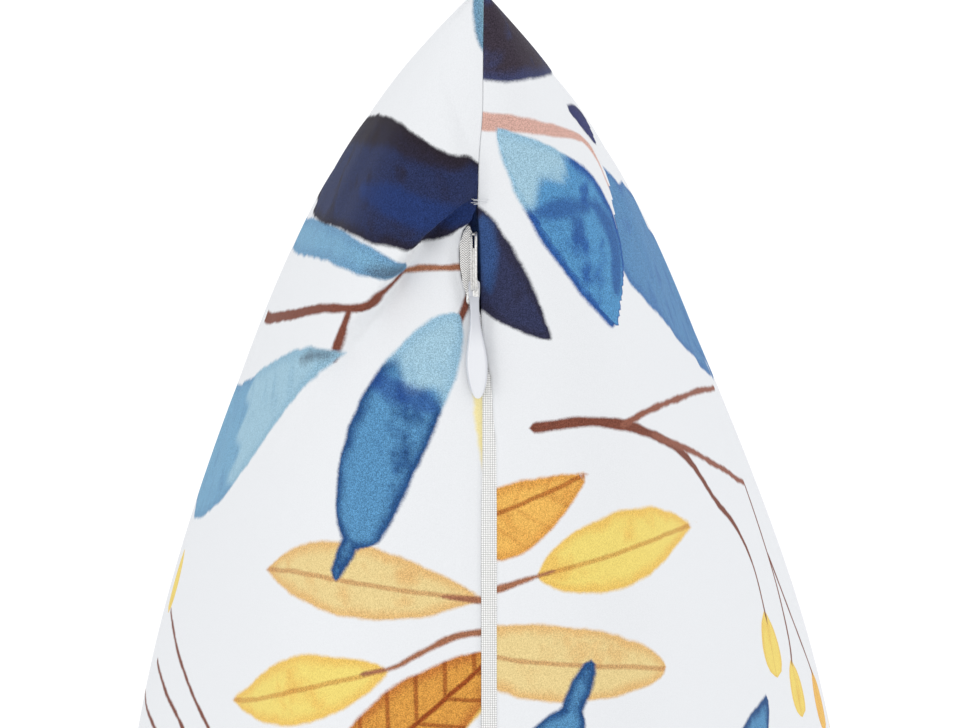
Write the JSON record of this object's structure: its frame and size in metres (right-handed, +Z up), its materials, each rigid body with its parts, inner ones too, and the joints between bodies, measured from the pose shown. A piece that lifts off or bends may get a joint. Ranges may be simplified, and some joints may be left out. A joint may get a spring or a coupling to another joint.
{
  "type": "throw cushion",
  "caption": "Square filled throw cushion with crowned panels, drawn-in sides, pointed corners and a concealed zip with a teardrop pull in one edge.",
  "frame": {"origin": "on the resting surface, under the middle of the cushion", "axes": "+Z up through the crown; the zip edge faces -Y and runs along X, with the slider near its +X end"},
  "size_m": [0.434, 0.434, 0.1561],
  "materials": {
    "printed_pile": "short velvety pile with a leaf print",
    "woven_tape": "plain woven ribbon",
    "slider_metal": "bright",
    "pull_enamel": "glossy white enamel"
  },
  "bodies": {
    "root": {"cushion": "printed_pile", "zip_tape": "woven_tape", "zip_slider": "slider_metal", "zip_pull": "pull_enamel"}
  },
  "joints": []
}
